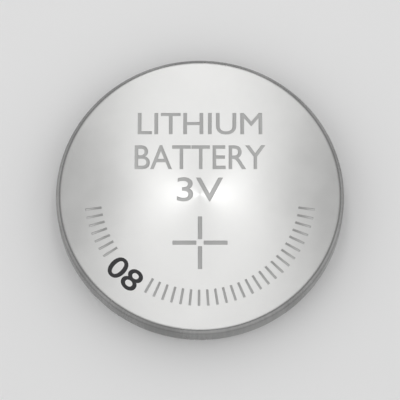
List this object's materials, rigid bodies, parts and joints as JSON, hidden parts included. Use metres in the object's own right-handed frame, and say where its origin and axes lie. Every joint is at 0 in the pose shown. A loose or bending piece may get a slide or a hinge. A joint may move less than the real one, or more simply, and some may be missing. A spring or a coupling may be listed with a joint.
{
  "type": "lithium coin cell",
  "caption": "Round lithium coin cell with a drawn steel can crimped over a moulded gasket and a stepped negative cap.",
  "frame": {"origin": "centre of the negative contact face, on the cell's axis", "axes": "+Z along the cell's axis, out of the positive face; the cell is round, so X and Y are alike"},
  "size_m": [0.02, 0.02, 0.0025],
  "materials": {
    "can_steel": "satin",
    "cap_steel": "satin",
    "gasket_plastic": "satin",
    "lithium": "matte",
    "separator_cloth": "matte",
    "cathode_mix": "matte",
    "mesh_steel": "satin"
  },
  "bodies": {
    "root": {"positive_can": "can_steel", "negative_cap": "cap_steel", "gasket": "gasket_plastic", "lithium_anode": "lithium", "separator": "separator_cloth", "cathode_pellet": "cathode_mix", "cathode_collector": "mesh_steel"}
  },
  "joints": []
}
